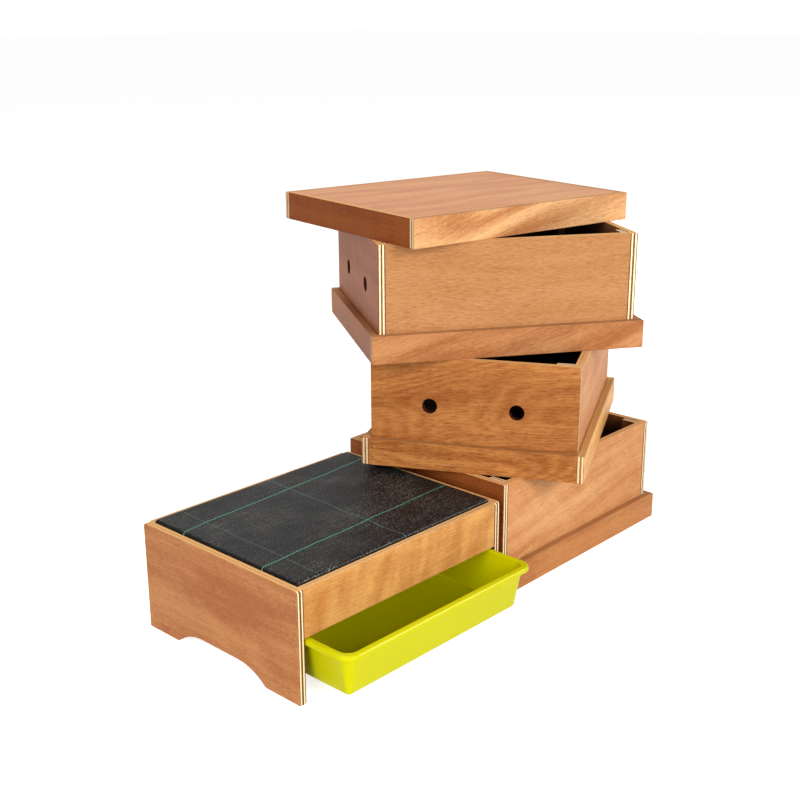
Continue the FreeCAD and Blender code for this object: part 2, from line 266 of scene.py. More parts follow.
    # The varnish follows the streaks of the grain, and sinks into the pores
    satin = add(tree, "ShaderNodeMapRange", {"Value": marks["Streaks"], "To Min": 0.42, "To Max": 0.6})
    rough = add(tree, "ShaderNodeMix", {"Factor": on["Z"], 2: 0.7, 3: satin.outputs[0]}).outputs[0]
    sunk = add(tree, "ShaderNodeMath", {0: depth, 1: -0.12}, operation="MULTIPLY").outputs[0]
    height = add(tree, "ShaderNodeMath", {0: marks["Streaks"], 1: 0.12, 2: sunk},
                 operation="MULTIPLY_ADD").outputs[0]
    add(tree, "NodeGroupOutput", {"Color": colour, "Roughness": rough, "Height": height})
    return tree


plywood_tree = okoume_plywood()
laid = {}                       # each board's middle, its own axes, and its reach along them in mm


def varnish_board(board, grain, through, light, dark, turn=0.0, inside=0, **look):
    """Gives one board its own stretch of veneer. Grain and through are the axes of the grain and of the
    sheet's thickness before the board was turned. The face on the side that inside points to gets a
    painted shade, darker below the top, and look holds other inputs of the veneer. All angles are in
    degrees."""
    turned = Matrix.Rotation(math.radians(turn), 3, "Z")
    along, out = turned @ AXES[grain], turned @ AXES[through]
    across = out.cross(along)
    if across.z < 0:
        out, across, inside = -out, -across, -inside
    own_axes = (along, across, out)
    turns = Matrix(own_axes).transposed().to_euler()
    low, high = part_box(board)
    middle = (low + high) / 2
    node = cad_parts[board]
    reach = [max((v.co - middle).dot(axis) for v in node.data.vertices) * MM_PER_M for axis in own_axes]
    laid[board] = middle, own_axes, reach
    material, tree = start_material("varnished okoume plywood " + board)
    place = add(tree, "ShaderNodeTexCoord").outputs
    point = add(tree, "ShaderNodeMapping", {
        "Vector": place["Object"], "Location": middle, "Rotation": turns, "Scale": (1 / MM_PER_M,) * 3,
    }, vector_type="TEXTURE").outputs[0]
    facing = add(tree, "ShaderNodeMapping", {"Vector": place["Normal"], "Rotation": turns},
                 vector_type="TEXTURE").outputs[0]
    values = {"Point": point, "Facing": facing, "Light": linear(light), "Dark": linear(dark),
              "Middle": max(0.0, reach[2] - SHEET_MM / 2), "Inside": inside, "Rim": reach[1]}
    for name, value in look.items():
        is_angle = name in ("slope", "ribbon_turn")
        values[name.replace("_", " ").capitalize()] = math.radians(value) if is_angle else value
    veneer = add(tree, "ShaderNodeGroup", values, node_tree=plywood_tree).outputs
    bump = add(tree, "ShaderNodeBump", {
        "Height": veneer["Height"], "Distance": 1 / MM_PER_M, "Strength": 0.5})
    shader = add(tree, "ShaderNodeBsdfPrincipled", {
        "Base Color": veneer["Color"], "Roughness": veneer["Roughness"], "Normal": bump.outputs[0],
        "IOR": 1.5, "Specular IOR Level": 0.12})
    add(tree, "ShaderNodeOutputMaterial", {0: shader.outputs[0]})
    node.material_slots[0].material = material


# Their inner faces are darkened by painted shade, all the darker below their top
varnish_board("base_left_end", "Y", "X", "#C58854", "#A66338", seed=1.3, core=1.5, inside=1,
              bands=0.9, ribbon_turn=35, pores=0.55)
varnish_board("base_right_end", "Y", "X", "#CE9060", "#AE6A40", seed=2.1, core=1.5, inside=-1,
              bands=0.9, ribbon_turn=-30)
varnish_board("base_front_rail", "X", "Y", "#D69E58", "#BA7A3D", seed=3.7, inside=1, bands=0.6,
              ribbon=1.0, ribbon_turn=14)
varnish_board("base_back_panel", "X", "Y", "#DC9C64", "#BC7848", seed=4.4, inside=-1)
for side in ("left", "right"):
    varnish_board(f"base_{side}_runner", "Y", "X", "#E0AC78", "#BE8854", seed=5.2)
for side in ("front", "back"):
    varnish_board(f"base_{side}_ledge", "X", "Y", "#E0AC78", "#BE8854", seed=6.9)


# Brads
# Steel brads of 1.4 mm, 30 mm long, are driven through each end board into the long boards beside it,
# punched just under the face and wiped with varnish, so that each shows as a small dark dot.

BRAD_HEAD = 0.0018
BRAD_PROUD = 0.00003
BRAD_SIDES = 10
BRAD_IN_MM = 5.0                # from the end of a board to its brads
BASE_BRADS = (0.26, 0.82)       # heights of the brads, as shares of half the board's height


def drive_brads():
    """A tree that sets a brad head on each point, square to the direction stored with it."""
    tree, given = start_group("driven brads", "GeometryNodeTree", (
        ("Geometry", "Geometry"), ("Head", "Float"), ("Proud", "Float"), ("Sides", "Int"),
        ("Steel", "Material"),
    ), (("Geometry", "Geometry"),))
    outward = add(tree, "GeometryNodeInputNamedAttribute", {"Name": "outward"},
                  data_type="FLOAT_VECTOR")
    upright = add(tree, "FunctionNodeAlignRotationToVector", {"Vector": outward.outputs[0]}, axis="Z")
    radius = add(tree, "ShaderNodeMath", {0: given["Head"], 1: 0.5}, operation="MULTIPLY").outputs[0]
    height = add(tree, "ShaderNodeMath", {0: given["Proud"], 1: 2.0}, operation="MULTIPLY").outputs[0]
    head = add(tree, "GeometryNodeMeshCylinder", {
        "Vertices": given["Sides"], "Radius": radius, "Depth": height}).outputs["Mesh"]
    heads = add(tree, "GeometryNodeInstanceOnPoints", {
        "Points": given["Geometry"], "Instance": head, "Rotation": upright.outputs[0]}).outputs[0]
    real = add(tree, "GeometryNodeRealizeInstances", {"Geometry": heads}).outputs[0]
    done = add(tree, "GeometryNodeSetMaterial", {"Geometry": real, "Material": given["Steel"]})
    add(tree, "NodeGroupOutput", {"Geometry": done.outputs[0]})
    return tree


def place_object(name, data):
    """A new object in the scene, at the origin."""
    placed = bpy.data.objects.new(name, data)
    bpy.context.scene.collection.objects.link(placed)
    return placed


def bake_nodes(name, mesh, tree, values):
    """The mesh that a Geometry Nodes tree makes of another, as a plain object at the origin."""
    piece = place_object(name, mesh)
    modifier = piece.modifiers.new(name, "NODES")
    modifier.node_group = tree
    sockets = {item.name: item.identifier for item in tree.interface.items_tree
               if item.in_out == "INPUT"}
    for key, value in values.items():
        modifier[sockets[key]] = value
    made = bpy.data.meshes.new_from_object(piece.evaluated_get(bpy.context.evaluated_depsgraph_get()))
    piece.modifiers.clear()
    piece.data = made
    made.name = name
    return piece


def varnished_steel():
    """Punched steel under a wipe of varnish: dark brown grey, with a dull glint."""
    material, tree = start_material("varnished steel brad")
    place = add(tree, "ShaderNodeTexCoord").outputs["Object"]
    patchy = add(tree, "ShaderNodeTexNoise", {"Vector": place, "Scale": 900.0}).outputs["Fac"]
    colour = add(tree, "ShaderNodeMix", {"Factor": patchy, 6: linear("#3A2010"), 7: linear("#6E4A30")},
                 data_type="RGBA").outputs[2]
    shader = add(tree, "ShaderNodeBsdfPrincipled", {
        "Base Color": colour, "Roughness": 0.5, "Metallic": 0.3})
    add(tree, "ShaderNodeOutputMaterial", {0: shader.outputs[0]})
    return material


brad_tree = drive_brads()
brad_steel = varnished_steel()


def nail_boards(body, rows_of):
    """Brads in the given boards of one body, at both ends of each row: the rows of each board are
    heights from its middle, as shares of half its height."""
    centre = sum((laid[board][0] for board in rows_of), Vector()) / len(rows_of)
    spots, outwards = [], []
    for board, rows in rows_of.items():
        middle, (along, across, out), reach = laid[board]
        outward = out if out.dot(middle - centre) > 0 else -out
        for row in rows:
            for end in (-1, 1):
                spot = along * end * (reach[0] - BRAD_IN_MM) + across * row * reach[1]
                spots.append(middle + (spot + outward * reach[2]) / MM_PER_M)
                outwards.append(outward)
    mesh = bpy.data.meshes.new(body + "_brad_spots")
    mesh.from_pydata(spots, [], [])
    stored = mesh.attributes.new("outward", "FLOAT_VECTOR", "POINT")
    for value, outward in zip(stored.data, outwards):
        value.vector = outward
    brads = bake_nodes(body + "_brads", mesh, brad_tree, {
        "Head": BRAD_HEAD, "Proud": BRAD_PROUD, "Sides": BRAD_SIDES, "Steel": brad_steel})
    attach(brads, body)


nail_boards("base", {"base_left_end": BASE_BRADS, "base_right_end": BASE_BRADS})


# Drain board
# A drilled plywood board lies on the ledges inside the top of the base and lets the liquid through.
# It is the same sheet as the rest, left plain under the cloth.

varnish_board("drain_board", "X", "Z", "#D9A070", "#B07848", seed=7.5)


# Ground cover
# Woven black polypropylene ground cover, as sold for weed control, is stretched over the drain board
# and tucked down round its edges, so that its edges round over. Green marker yarns are woven in.

COVER_ROUND = 0.004
COVER_CLOTH = 0.0007
COVER_STEP = 0.004
ROUND_STEPS = 8
TUCK_STEPS = 2
PUCKER = 0.0005
PUCKERS = ((22, 3.1, 1.0), (60, 8.7, 0.6))          # how close, which part of the noise, and how high
LIFT = 0.0008                   # the cloth stands a little higher towards the back and the right
LIFT_MIDDLE, LIFT_BACK, LIFT_RIGHT = 0.5, 0.4, 0.3  # shares of it
TAPE_MM = 2.2                   # real tapes are nearer 1.2 mm, too fine to show
STRAY_MM = 6.0                  # how far a tape strays from its straight line, over what length
STRAY_LENGTH_MM = 50.0
DUST_AND_SHEEN = (                        # how close the noise is along and across the tapes, and its weight
    ((0.02, 0.9, 0), 0.9),      # the long way of each tape
    ((0.9, 0.02, 0), 0.3),      # the other way
    ((0.9, 0.9, 0), 1.2),       # grit
    ((0.012, 0.012, 0), 0.6),   # patches
)
CROSSING_DUST_AND_GLINT = 0.5
PINHOLES_MM = ((-58.8, 6.5), (-22.2, 19.4), (-8.6, 6.6), (48.5, 2.9))
PINHOLE_MM = 0.9                # radius of a pinhole, and of its ragged edge
PINHOLE_EDGE_MM = 1.6
MARKER_YARNS = (                # from point to point and half width, in mm, then strength and colour
    ((-175.2, -72.6), (164.7, -59.0), 0.95, 0.95, "#58A88E"),
    ((-172.7, 75.0), (144.8, 92.8), 0.95, 0.95, "#58A88E"),
    ((-130.8, 124.9), (-134.3, -136.8), 0.7, 0.4, "#7C8C86"),
    ((16.0, 116.2), (8.9, -139.5), 0.8, 0.5, "#5E9488"),
)
YARN_TWIST = 1.5                # radians per mm
YARN_SWAY_MM = 0.35             # to either side, with the twist
YARN_CORE = 0.6                 # share of its width over which a yarn has its full colour


def weave_ground_cover():
    """Flat polypropylene tapes in a plain weave: black and slightly waxy. Where the cloth lies level it
    is greyed by pale grit and fibre dust caught between the tapes and by a painted sheen with painted
    glints on the humps of the tapes, while its turned-down edges stay black."""
    material, tree = start_material("woven polypropylene ground cover")
    cut = add(tree, "ShaderNodeUVMap", uv_map="cut").outputs[0]
    mm = add(tree, "ShaderNodeVectorMath", {0: cut, "Scale": MM_PER_M}, operation="SCALE").outputs[0]
    stray = add(tree, "ShaderNodeTexNoise", {"Vector": mm, "Scale": 1 / STRAY_LENGTH_MM, "Detail": 2.0})
    drawn = add(tree, "ShaderNodeVectorMath", {
        0: stray.outputs["Color"], 1: (STRAY_MM, STRAY_MM, 0), 2: mm,
    }, operation="MULTIPLY_ADD").outputs[0]
    tapes = add(tree, "ShaderNodeVectorMath", {0: drawn, "Scale": 1 / TAPE_MM},
                operation="SCALE").outputs[0]
    number = add(tree, "ShaderNodeVectorMath", {0: tapes}, operation="FLOOR").outputs[0]
    within = add(tree, "ShaderNodeVectorMath", {0: tapes}, operation="FRACTION").outputs[0]
    count = add(tree, "ShaderNodeSeparateXYZ", {0: number}).outputs
    across = add(tree, "ShaderNodeSeparateXYZ", {0: within}).outputs
    total = add(tree, "ShaderNodeMath", {0: count["X"], 1: count["Y"]}, operation="ADD").outputs[0]
    over = add(tree, "ShaderNodeMath", {0: total, 1: 1.0}, operation="PINGPONG").outputs[0]
    humps = []
    for axis in "XY":
        angle = add(tree, "ShaderNodeMath", {0: across[axis], 1: math.pi},
                    operation="MULTIPLY").outputs[0]
        humps.append(add(tree, "ShaderNodeMath", {0: angle}, operation="SINE").outputs[0])
    hump = add(tree, "ShaderNodeMix", {"Factor": over, 2: humps[0], 3: humps[1]}).outputs[0]

    # Each crossing, each tape along its run, and each patch of cloth holds its own share of dust and
    # painted sheen, with a painted glint on the hump of each crossing
    crossing = add(tree, "ShaderNodeTexWhiteNoise", {"Vector": number}).outputs["Value"]
    held = add(tree, "ShaderNodeMath", {0: crossing, 1: hump}, operation="MULTIPLY").outputs[0]
    held = add(tree, "ShaderNodeMath", {0: held, 1: CROSSING_DUST_AND_GLINT}, operation="MULTIPLY").outputs[0]
    for close, weight in DUST_AND_SHEEN:
        point = add(tree, "ShaderNodeVectorMath", {0: drawn, 1: close}, operation="MULTIPLY").outputs[0]
        layer = add(tree, "ShaderNodeTexNoise", {"Vector": point, "Scale": 1.0, "Detail": 2.0})
        held = add(tree, "ShaderNodeMath", {0: layer.outputs["Fac"], 1: weight, 2: held},
                   operation="MULTIPLY_ADD").outputs[0]
    dust = add(tree, "ShaderNodeMapRange", {"Value": held, "From Min": 1.7, "From Max": 2.7}).outputs[0]
    # Only faces that look up take the grey of dust and painted sheen, so the turned-down edges stay
    # black
    facing = add(tree, "ShaderNodeTexCoord").outputs["Normal"]
    up = add(tree, "ShaderNodeSeparateXYZ", {0: facing}).outputs["Z"]
    level = add(tree, "ShaderNodeMapRange", {"Value": up, "From Min": 0.7, "From Max": 0.98}).outputs[0]
    dust_and_sheen = add(tree, "ShaderNodeMath", {0: dust, 1: level}, operation="MULTIPLY").outputs[0]
    colour = add(tree, "ShaderNodeMix", {"Factor": dust_and_sheen, 6: linear("#0A0908"), 7: linear("#8F8B86")},
                 data_type="RGBA").outputs[2]
    # Each pinhole is painted as a near-black dot: painted shade in the hole
    for pinhole in PINHOLES_MM:
        away = add(tree, "ShaderNodeVectorMath", {0: mm, 1: (*pinhole, 0)}, operation="DISTANCE")
        hole = add(tree, "ShaderNodeMapRange", {
            "Value": away.outputs["Value"], "From Min": PINHOLE_EDGE_MM, "From Max": PINHOLE_MM})
        colour = add(tree, "ShaderNodeMix", {
            "Factor": hole.outputs[0], 6: colour, 7: linear("#030303")}, data_type="RGBA").outputs[2]

    # A marker yarn is twisted, so it sways and shows a bead at each turn
    for start, end, wide, strength, shade in MARKER_YARNS:
        line = Vector(end) - Vector(start)
        line.normalize()
        square = Vector((-line.y, line.x, 0))
        off = add(tree, "ShaderNodeVectorMath", {0: drawn, 1: square}, operation="DOT_PRODUCT")
        shift = square.xy.dot(Vector(start)) + STRAY_MM / 2 * (square.x + square.y)
        off = add(tree, "ShaderNodeMath", {0: off.outputs["Value"], 1: shift},
                  operation="SUBTRACT").outputs[0]
        run = add(tree, "ShaderNodeVectorMath", {0: drawn, 1: (*line, 0)}, operation="DOT_PRODUCT")
        twist = add(tree, "ShaderNodeMath", {0: run.outputs["Value"], 1: YARN_TWIST},
                    operation="MULTIPLY")
        twist = add(tree, "ShaderNodeMath", {0: twist.outputs[0]}, operation="SINE").outputs[0]
        off = add(tree, "ShaderNodeMath", {0: twist, 1: YARN_SWAY_MM, 2: off},
                  operation="MULTIPLY_ADD").outputs[0]
        near = add(tree, "ShaderNodeMath", {0: off}, operation="ABSOLUTE").outputs[0]
        yarn = add(tree, "ShaderNodeMapRange", {
            "Value": near, "From Min": wide, "From Max": wide * YARN_CORE, "To Max": strength})
        bead = add(tree, "ShaderNodeMapRange", {
            "Value": twist, "From Min": -1.0, "To Min": 0.3, "To Max": 1.2}).outputs[0]
        bright = add(tree, "ShaderNodeVectorMath", {0: linear(shade)[:3], "Scale": bead},
                     operation="SCALE").outputs[0]
        colour = add(tree, "ShaderNodeMix", {"Factor": yarn.outputs[0], 6: colour, 7: bright},
                     data_type="RGBA").outputs[2]
    bump = add(tree, "ShaderNodeBump", {"Height": hump, "Distance": 0.0004, "Strength": 0.35})
    rough = add(tree, "ShaderNodeMapRange", {"Value": crossing, "To Min": 0.36, "To Max": 0.56})
    shader = add(tree, "ShaderNodeBsdfPrincipled", {
        "Base Color": colour, "Roughness": rough.outputs[0], "Normal": bump.outputs[0],
        "IOR": 1.49, "Specular IOR Level": 0.1})
    add(tree, "ShaderNodeOutputMaterial", {0: shader.outputs[0]})
    return material


cover_low, cover_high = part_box("drain_cover")
cover_middle = (cover_low + cover_high) / 2
cover_half = (cover_high - cover_low).xy / 2
cover_tuck = cover_high.z - cover_low.z - COVER_ROUND
cover_top = Vector((cover_middle.x, cover_middle.y, cover_high.z - PUCKER))
cover_arc = COVER_ROUND * math.pi / 2


def cover_stops(half):
    """Places on the cut cloth, from one edge to the other: level, round the edge, and down."""
    level = half - COVER_ROUND
    count = round(2 * level / COVER_STEP)
    stops = [-level + 2 * level * i / count for i in range(count + 1)]
    beyond = [level + cover_arc * i / ROUND_STEPS for i in range(1, ROUND_STEPS + 1)]
    beyond += [level + cover_arc + cover_tuck * i / TUCK_STEPS for i in range(1, TUCK_STEPS + 1)]
    return [-s for s in reversed(beyond)] + stops + beyond


def fold_over(past):
    """How far out and how far down the cloth is, past the start of the rounding."""
    turn = min(past / COVER_ROUND, math.pi / 2)
    out, down = COVER_ROUND * math.sin(turn), COVER_ROUND * (1 - math.cos(turn))
    return out, down + max(0.0, past - cover_arc)


def lay_cloth(u, v):
    """Where a point of the cut cloth lies on the drain board."""
    level_x, level_y = cover_half[0] - COVER_ROUND, cover_half[1] - COVER_ROUND
    past_x, past_y = max(0.0, abs(u) - level_x), max(0.0, abs(v) - level_y)
    past = max(past_x, past_y)
    ripple = sum(high * noise.noise(Vector((u * close, v * close, part)))
                 for close, part, high in PUCKERS)
    share = LIFT_MIDDLE + v / cover_half[1] * LIFT_BACK + u / cover_half[0] * LIFT_RIGHT
    lift = LIFT * max(0.0, share)
    if not past:
        return Vector((u, v, lift + ripple * PUCKER))
    out, down = fold_over(past)
    share_x, share_y = past_x / past, past_y / past
    pull = (share_x ** 4 + share_y ** 4) ** -0.25       # rounds the corners of the fold
    spot = Vector((math.copysign(min(abs(u), level_x) + out * share_x * pull, u),
                   math.copysign(min(abs(v), level_y) + out * share_y * pull, v), -down))
    fade = max(0.0, 1 - past / cover_arc)
    return spot + Vector((0, 0, lift + ripple * PUCKER * fade))


rows_x, rows_y = cover_stops(cover_half[0]), cover_stops(cover_half[1])
cloth = bmesh.new()
cut_layer = cloth.loops.layers.uv.new("cut")
knots = [[cloth.verts.new(lay_cloth(u, v) + cover_top) for v in rows_y] for u in rows_x]
for i in range(len(rows_x) - 1):
    for j in range(len(rows_y) - 1):
        corners = ((i, j), (i + 1, j), (i + 1, j + 1), (i, j + 1))
        weft = cloth.faces.new([knots[a][b] for a, b in corners])
        weft.smooth = True
        for loop, (a, b) in zip(weft.loops, corners):
            loop[cut_layer].uv = (rows_x[a], rows_y[b])
cover_mesh = bpy.data.meshes.new("ground_cover")
cloth.to_mesh(cover_mesh)
cloth.free()
cover_mesh.materials.append(weave_ground_cover())
ground_cover = place_object("ground_cover", cover_mesh)
thickness = ground_cover.modifiers.new("cloth", "SOLIDIFY")
thickness.thickness = COVER_CLOTH
thickness.offset = -1.0
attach(ground_cover, "base")
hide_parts("drain_cover")


# Frayed edge
# The cloth is cut, not hemmed, and its cut edge frays along the front rail. Ends of the split tapes
# poke out all along it, with a few loose clumps of finer strands; their pale grey is partly painted
# sheen.

FRAY_ROWS = (                   # start and end along the edge, spacing, length and thickness, in mm
    (-166, 168, 3.0, 1.2, 0.55),
    (-163, -140, 1.2, 3.5, 0.3),
    (-124, -108, 1.4, 3.5, 0.3),
    (-58, -14, 1.6, 3.2, 0.3),
)
FRAY_IN = 0.0002                # where the strands start, from the front and the top of the cloth
FRAY_DOWN = 0.0022
FRAY_SHAKE = 0.4                # share of the spacing by which they are moved along
FRAY_LIFT = 0.0004              # and up or down
FRAY_BOW = 0.0004               # how far a strand's tip leans out
FRAY_LEAST_TURN, FRAY_MOST_TURN = (0.1, -1.4, -0.6), (0.5, 1.4, 0.6)
FRAY_LEAST_SIZE, FRAY_MOST_SIZE = 0.4, 1.2


def fray_edge():
    """A tree that sets short bent strands along a line, each turned and scaled at random."""
    tree, given = start_group("frayed thread ends", "GeometryNodeTree", (
        ("Geometry", "Geometry"), ("Spacing", "Float"), ("Length", "Float"), ("Thickness", "Float"),
        ("Seed", "Int"), ("Thread", "Material"),
    ), (("Geometry", "Geometry"),))
    line = add(tree, "GeometryNodeMeshToCurve", {0: given["Geometry"]}).outputs[0]
    spots = add(tree, "GeometryNodeResampleCurve", {"Curve": line, "Length": given["Spacing"]},
                mode="LENGTH").outputs[0]
    shake = add(tree, "ShaderNodeMath", {0: given["Spacing"], 1: FRAY_SHAKE},
                operation="MULTIPLY").outputs[0]
    most = add(tree, "ShaderNodeCombineXYZ", {"X": shake, "Z": FRAY_LIFT}).outputs[0]
    least = add(tree, "ShaderNodeVectorMath", {0: most, "Scale": -1.0}, operation="SCALE").outputs[0]
    jitter = add(tree, "FunctionNodeRandomValue", {0: least, 1: most, "Seed": given["Seed"]},
                 data_type="FLOAT_VECTOR").outputs[0]
    spots = add(tree, "GeometryNodeSetPosition", {"Geometry": spots, "Offset": jitter}).outputs[0]
    bend = add(tree, "ShaderNodeCombineXYZ", {"Y": -FRAY_BOW, "Z": given["Length"]}).outputs[0]
    half = add(tree, "ShaderNodeVectorMath", {0: bend, 1: (0.5, 1.6, 0.5)},
               operation="MULTIPLY").outputs[0]
    strand = add(tree, "GeometryNodeCurveQuadraticBezier", {
        "Resolution": 3, "Start": (0, 0, 0), "Middle": half, "End": bend}).outputs[0]
    radius = add(tree, "ShaderNodeMath", {0: given["Thickness"], 1: 0.5},
                 operation="MULTIPLY").outputs[0]
    round_wire = add(tree, "GeometryNodeCurvePrimitiveCircle", {"Resolution": 5, "Radius": radius})
    solid = add(tree, "GeometryNodeCurveToMesh", {
        "Curve": strand, "Profile Curve": round_wire.outputs[0], "Fill Caps": True}).outputs[0]
    turn = add(tree, "FunctionNodeRandomValue", {
        0: FRAY_LEAST_TURN, 1: FRAY_MOST_TURN, "Seed": given["Seed"],
    }, data_type="FLOAT_VECTOR").outputs[0]
    size = add(tree, "FunctionNodeRandomValue", {
        2: FRAY_LEAST_SIZE, 3: FRAY_MOST_SIZE, "Seed": given["Seed"],
    }, data_type="FLOAT").outputs[1]
    strands = add(tree, "GeometryNodeInstanceOnPoints", {
        "Points": spots, "Instance": solid, "Rotation": turn, "Scale": size}).outputs[0]
    real = add(tree, "GeometryNodeRealizeInstances", {"Geometry": strands}).outputs[0]
    done = add(tree, "GeometryNodeSetMaterial", {"Geometry": real, "Material": given["Thread"]})
    add(tree, "NodeGroupOutput", {"Geometry": done.outputs[0]})
    return tree


def thread_ends():
    """Split polypropylene tape: pale grey fibres, the grey partly a painted sheen, dulled by dust, with
    a soft shine.
    """
    material, tree = start_material("frayed polypropylene thread")
    place = add(tree, "ShaderNodeTexCoord").outputs["Object"]
    tint = add(tree, "ShaderNodeTexNoise", {"Vector": place, "Scale": 160.0}).outputs["Fac"]
    colour = add(tree, "ShaderNodeMix", {"Factor": tint, 6: linear("#524E49"), 7: linear("#B8B3AA")},
                 data_type="RGBA").outputs[2]
    shader = add(tree, "ShaderNodeBsdfPrincipled", {
        "Base Color": colour, "Roughness": 0.5, "Specular IOR Level": 0.3})
    add(tree, "ShaderNodeOutputMaterial", {0: shader.outputs[0]})
    return material


fray_tree, fray_thread = fray_edge(), thread_ends()
clumps = bmesh.new()
for seed, (first, last, spacing, length, thick) in enumerate(FRAY_ROWS):
    ends = [Vector((cover_middle.x + x / MM_PER_M, cover_low.y + FRAY_IN, cover_high.z - FRAY_DOWN))
            for x in (first, last)]
    edge_line = bpy.data.meshes.new("fray_line")
    edge_line.from_pydata(ends, [(0, 1)], [])
    row = bake_nodes("fray_row", edge_line, fray_tree, {
        "Spacing": spacing / MM_PER_M, "Length": length / MM_PER_M, "Thickness": thick / MM_PER_M,
        "Seed": seed, "Thread": fray_thread})
    clumps.from_mesh(row.data)
    bpy.data.objects.remove(row)
fray_mesh = bpy.data.meshes.new("ground_cover_frays")
clumps.to_mesh(fray_mesh)
clumps.free()
fray_mesh.materials.append(fray_thread)
frays = place_object("ground_cover_frays", fray_mesh)
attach(frays, "base")


# Drip tray
# The drip tray is one injection moulding in lime polypropylene, with drafted walls and a rolled rim
# that slides on the runners. It keeps the gloss of the mould, with a faint unevenness.

CLOUD_MM = 90.0                 # size of the patches in its colour and gloss
PEEL_MM = 5.0                   # and of the waves in its surface


def lime_polypropylene():
    """Glossy moulded polypropylene: an even yellow-green with soft, slightly wavy highlights."""
    material, tree = start_material("moulded lime polypropylene")
    place = add(tree, "ShaderNodeTexCoord").outputs["Object"]
    mm = add(tree, "ShaderNodeVectorMath", {0: place, "Scale": MM_PER_M}, operation="SCALE").outputs[0]
    cloud = add(tree, "ShaderNodeTexNoise", {
        "Vector": mm, "Scale": 1 / CLOUD_MM, "Detail": 2.0}).outputs["Fac"]
    peel = add(tree, "ShaderNodeTexNoise", {
        "Vector": mm, "Scale": 1 / PEEL_MM, "Detail": 1.0}).outputs["Fac"]
    colour = add(tree, "ShaderNodeMix", {"Factor": cloud, 6: linear("#C2BF00"), 7: linear("#CAC600")},
                 data_type="RGBA").outputs[2]
    rough = add(tree, "ShaderNodeMapRange", {"Value": cloud, "To Min": 0.2, "To Max": 0.3})
    bump = add(tree, "ShaderNodeBump", {"Height": peel, "Distance": 0.0001, "Strength": 0.4})
    shader = add(tree, "ShaderNodeBsdfPrincipled", {
        "Base Color": colour, "Roughness": rough.outputs[0], "Normal": bump.outputs[0],
        "IOR": 1.49, "Specular IOR Level": 0.08})
    add(tree, "ShaderNodeOutputMaterial", {0: shader.outputs[0]})
    return material


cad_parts["drip_tray"].material_slots[0].material = lime_polypropylene()


# Trays
# Three like trays carry the worms and their bedding. Each is a box of plywood boards glued and nailed
# round four corner strips, on slats with gaps, inside a skirt that the tray below fits into.

TRAY_TURNS = {"lower_tray": 0.83, "middle_tray": 27.9, "upper_tray": -33.8}
TRAY_BOARDS = {                 # axes of the grain and of the thickness, and the side that gets the painted shade
    "left_end": ("Y", "X", 1), "right_end": ("Y", "X", -1),
    "front_side": ("X", "Y", 1), "back_side": ("X", "Y", -1),
    "corner_strips": ("Z", "X", 0), "floor_slats": ("Y", "Z", 0),
    "left_skirt": ("Y", "X", 0), "right_skirt": ("Y", "X", 0),
    "front_skirt": ("X", "Y", 0), "back_skirt": ("X", "Y", 0),
}
TRAY_VENEER = ("#D89C68", "#B47444", {})            # light and dark, and other inputs of the veneer
# Painted shade: the floor slats and corner strips inside each tray are coloured dark brown, and the
# slats' edges take that colour too
TRAY_INSIDES = {
    "floor_slats": ("#4A2A14", "#2A160A", {"stained": 1.0}),
    "corner_strips": ("#6A4022", "#3E2210", {}),
}
# The lower tray's left end and the upper tray's left end and left skirt face away from the lamps, and
# their darker colours are partly painted shade
VENEERS_AND_PAINTED_SHADE = {
    "lower_tray": {
        "left_end": ("#9A5426", "#773A16", {}),
        "front_side": ("#D79F6A", "#BD7944", {"ribbon": 0.4, "ribbon_turn": -35, "slope": -8}),
        "front_skirt": ("#C3844C", "#A66532", {"ribbon": 0.25, "ribbon_turn": -30}),
    },
    "middle_tray": {
        "left_end": ("#B7783F", "#935526", {
            "bands": 0.7, "pores": 1.1, "rings": 0.7, "ring_lines": 190.0, "drift": 10.0,
            "drift_length": 260.0, "slope": 6}),
        "front_side": ("#D49355", "#B8713B", {}),
        "left_skirt": ("#C08044", "#925324", {
            "pores": 1.2, "rings": 0.8, "ring_lines": 190.0, "drift": 10.0, "drift_length": 260.0}),
        "front_skirt": ("#F2B872", "#CF924B", {"pores": 0.6}),
    },
    "upper_tray": {
        "left_end": ("#A56240", "#854A2B", {}),
        "front_side": ("#B88355", "#A56F3D", {
            "bands": 0.5, "streaks": 0.5, "fleck": 1.3, "ribbon": 0.1, "pores": 0.7}),
        "front_skirt": ("#BD8353", "#975B31", {
            "ribbon": 0.1, "rings": 0.9, "ring_lines": 26.0, "drift": 34.0, "slope": -18}),
        "left_skirt": ("#A5623A", "#844A28", {}),
    },
}
FIRST_SEED = 11.3
SEED_PER_TRAY = 3.1
SEED_PER_BOARD = 0.77
VENT_RADIUS_MM = 10.5
VENT_SPACING_MM = 120.0
VENT_DROP_MM = 68.5             # from the rim
BORE_SHADE_PAST_MM = 0.1                 # how far past its bore the painted shade of a vent reaches
SKIRT_STAIN = 0.8
END_BRADS = (-0.2, 0.3, 0.8)
SKIRT_BRADS = (-0.4, 0.4)
